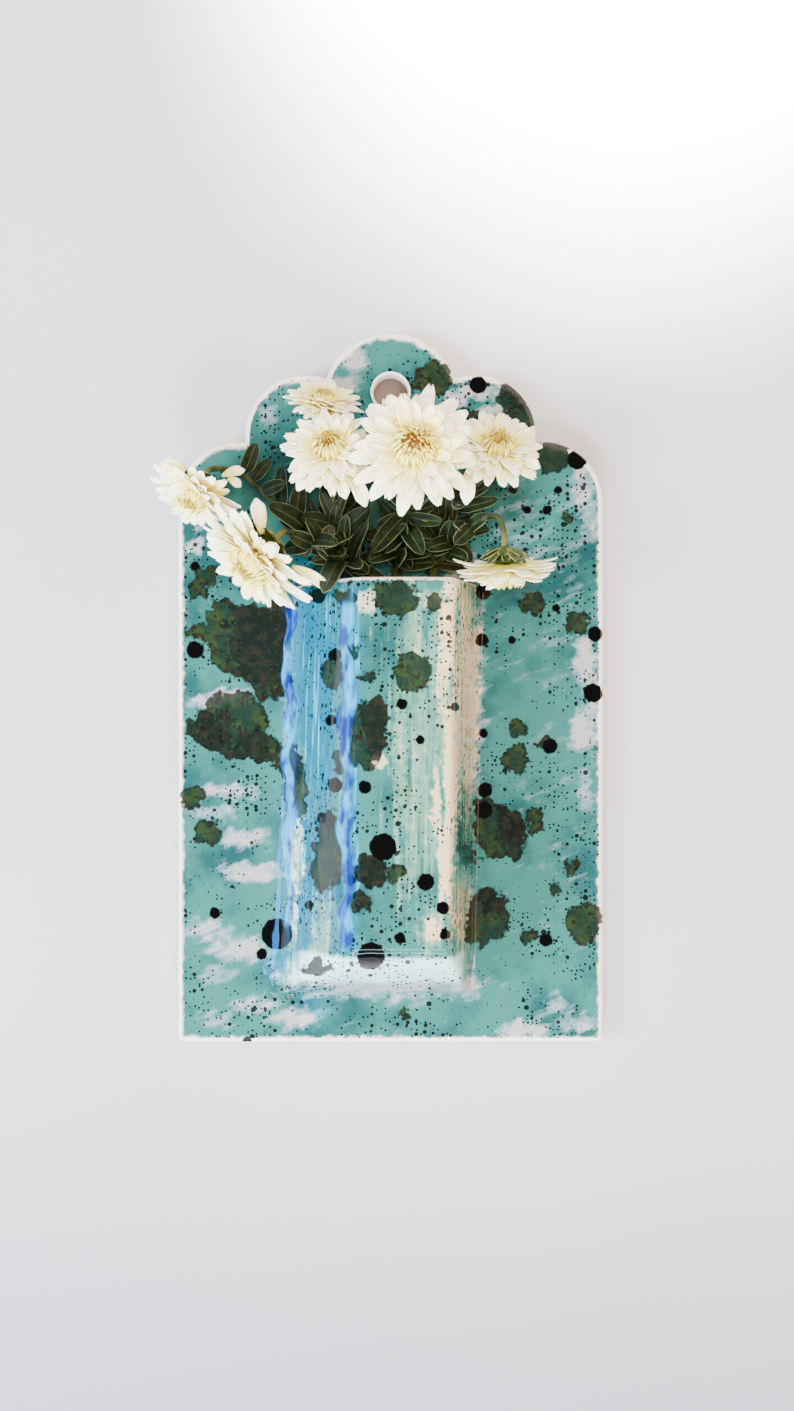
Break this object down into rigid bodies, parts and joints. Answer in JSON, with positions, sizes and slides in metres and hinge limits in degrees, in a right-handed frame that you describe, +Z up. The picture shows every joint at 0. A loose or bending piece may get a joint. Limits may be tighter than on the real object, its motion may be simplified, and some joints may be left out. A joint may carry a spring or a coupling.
{
  "type": "hanging wall vase",
  "caption": "Glazed wall vase: a scalloped back plaque with a hanging hole and a draped flower pocket, holding cut chrysanthemum sprays that lift out.",
  "frame": {"origin": "centre of the hanging hole, on the plaque's flat back face", "axes": "+Z up along the plaque, +Y into the wall, +X to the right of someone facing the vase"},
  "size_m": [0.1242, 0.0456, 0.2002],
  "materials": {
    "glaze": "glossy reactive glaze over a pale clay body",
    "petal": "matt, slightly translucent petals",
    "eye": "matt curled florets",
    "calyx": "matt green bracts",
    "leaf": "satin dark green leaves",
    "stem": "satin green stems"
  },
  "bodies": {
    "vase": {"back_plaque": "glaze", "pocket_front": "glaze", "pocket_floor": "glaze", "seam_coil": "glaze"},
    "left_spray": {"left_spray_stem": "stem", "left_spray_leaves": "leaf", "far_left_bloom_calyx": "calyx", "far_left_bloom_outer_petals": "petal", "far_left_bloom_inner_petals": "petal", "far_left_bloom_eye": "eye", "low_left_bloom_calyx": "calyx", "low_left_bloom_outer_petals": "petal", "low_left_bloom_inner_petals": "petal", "low_left_bloom_eye": "eye", "back_bloom_calyx": "calyx", "back_bloom_outer_petals": "petal", "back_bloom_inner_petals": "petal", "back_bloom_eye": "eye", "left_bloom_calyx": "calyx", "left_bloom_outer_petals": "petal", "left_bloom_inner_petals": "petal", "left_bloom_eye": "eye"},
    "centre_spray": {"centre_spray_stem": "stem", "centre_spray_leaves": "leaf", "main_bloom_calyx": "calyx", "main_bloom_outer_petals": "petal", "main_bloom_inner_petals": "petal", "main_bloom_eye": "eye"},
    "right_spray": {"right_spray_stem": "stem", "right_spray_leaves": "leaf", "right_bloom_calyx": "calyx", "right_bloom_outer_petals": "petal", "right_bloom_inner_petals": "petal", "right_bloom_eye": "eye", "nodding_bloom_calyx": "calyx", "nodding_bloom_outer_petals": "petal", "nodding_bloom_inner_petals": "petal", "nodding_bloom_eye": "eye"}
  },
  "joints": [
    {"name": "left_spray_lift", "type": "slide", "parent": "vase", "child": "left_spray", "axis": [-0.0797, 0, 0.9968], "range_m": [0, 0.112]},
    {"name": "centre_spray_lift", "type": "slide", "parent": "vase", "child": "centre_spray", "axis": [-0.02, 0, 0.9998], "range_m": [0, 0.112]},
    {"name": "right_spray_lift", "type": "slide", "parent": "vase", "child": "right_spray", "axis": [0.03, 0, 0.9996], "range_m": [0, 0.112]}
  ]
}
